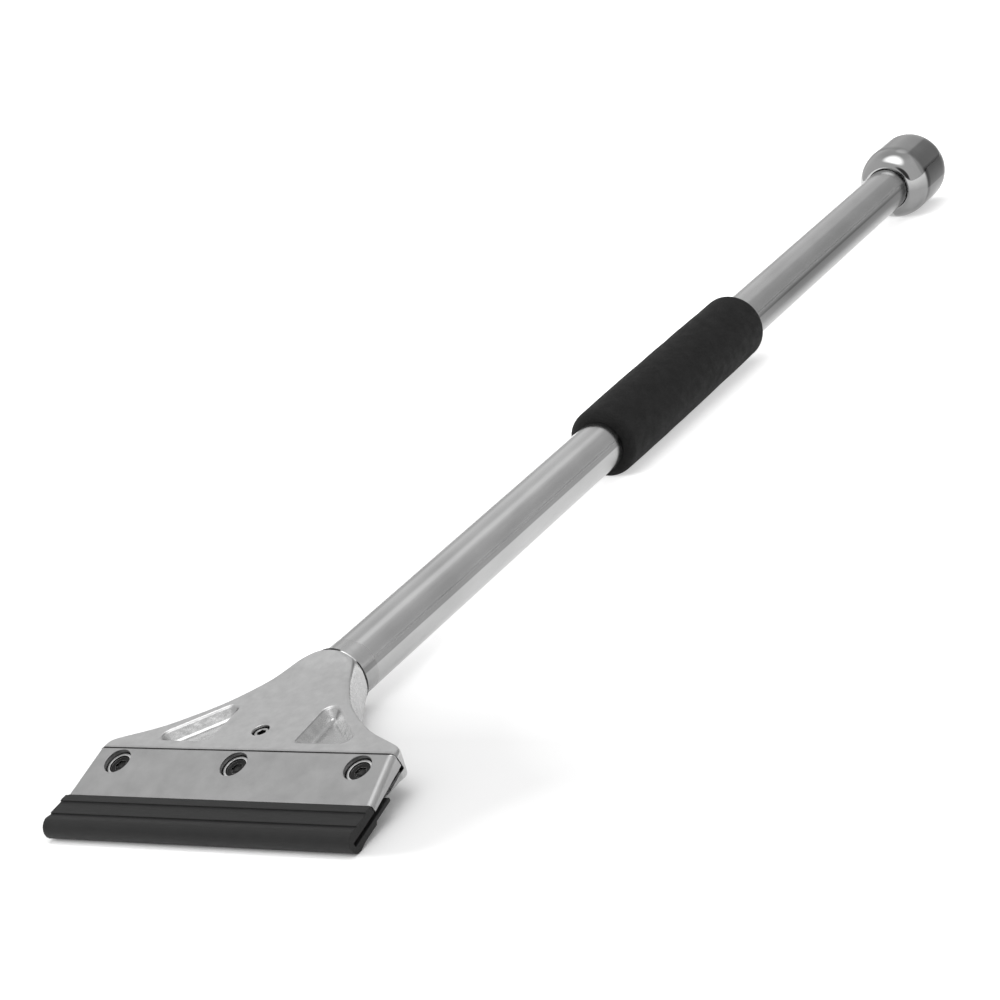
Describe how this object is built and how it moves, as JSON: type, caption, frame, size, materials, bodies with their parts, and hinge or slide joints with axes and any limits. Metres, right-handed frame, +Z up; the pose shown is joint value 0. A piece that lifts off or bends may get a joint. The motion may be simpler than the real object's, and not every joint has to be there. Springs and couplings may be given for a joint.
{
  "type": "steel scraper",
  "caption": "Long-handled steel scraper with a wide clamped blade, rubber blade guard, tubular handle, foam grip and a steel cap that can be struck.",
  "frame": {"origin": "under the middle of the tool, on the surface it lies on", "axes": "+Z up, +Y along the handle from the blade to the strike cap, +X across the blade; X = 0 is the plane of symmetry"},
  "size_m": [0.1308, 0.6638, 0.0373],
  "materials": {
    "cast_steel": "satin grey, bead blasted",
    "machined_steel": "satin grey, fine ground",
    "black_steel": "black oxide with bright worn edges",
    "bright_steel": "ground bright",
    "tube_steel": "smooth drawn tube, satin",
    "polished_steel": "polished",
    "rubber": "matt dark grey",
    "foam": "closed cell foam, matt black"
  },
  "bodies": {
    "head": {"head_body": "cast_steel", "neck_lock_ring": "black_steel", "neck_stud": "machined_steel", "neck_insert": "machined_steel", "handle_tube": "tube_steel", "foam_grip": "foam", "cap_insert": "machined_steel", "cap_stud": "machined_steel", "strike_cap": "polished_steel"},
    "clamp_plate": {"clamp_plate": "machined_steel"},
    "clamp_screw_left": {"clamp_screw_left": "black_steel"},
    "clamp_screw_middle": {"clamp_screw_middle": "black_steel"},
    "clamp_screw_right": {"clamp_screw_right": "black_steel"},
    "stud_lock_screw": {"stud_lock_screw": "black_steel"},
    "blade": {"blade": "bright_steel"},
    "blade_guard": {"blade_guard": "rubber"}
  },
  "joints": [
    {"name": "clamp_plate_lift", "type": "slide", "parent": "head", "child": "clamp_plate", "axis": [0, -0.3424, 0.9396], "range_m": [0, 0.002]},
    {"name": "clamp_screw_middle_turn", "type": "hinge", "parent": "clamp_plate", "child": "clamp_screw_middle", "pos_m": [0, -0.30023, 0.01372], "axis": [0, -0.3424, 0.9396], "range_deg": [0, 720]},
    {"name": "clamp_screw_left_turn", "type": "hinge", "parent": "clamp_plate", "child": "clamp_screw_left", "pos_m": [-0.0517, -0.30023, 0.01372], "axis": [0, -0.3424, 0.9396], "range_deg": [0, 720]},
    {"name": "clamp_screw_right_turn", "type": "hinge", "parent": "clamp_plate", "child": "clamp_screw_right", "pos_m": [0.0517, -0.30023, 0.01372], "axis": [0, -0.3424, 0.9396], "range_deg": [0, 720]},
    {"name": "stud_lock_screw_turn", "type": "hinge", "parent": "head", "child": "stud_lock_screw", "pos_m": [0, -0.28288, 0.01763], "axis": [0, -0.0863, 0.9963], "range_deg": [0, 720]},
    {"name": "blade_slide", "type": "slide", "parent": "head", "child": "blade", "axis": [0, -0.9767, -0.2146], "range_m": [0, 0.024]},
    {"name": "blade_guard_slide", "type": "slide", "parent": "blade", "child": "blade_guard", "axis": [0, -0.9767, -0.2146], "range_m": [0, 0.024]}
  ],
  "couplings": [
    {"joint": "clamp_screw_middle_turn", "follows": "clamp_plate_lift", "rad_per_m": 6283},
    {"joint": "clamp_screw_left_turn", "follows": "clamp_plate_lift", "rad_per_m": 6283},
    {"joint": "clamp_screw_right_turn", "follows": "clamp_plate_lift", "rad_per_m": 6283}
  ]
}
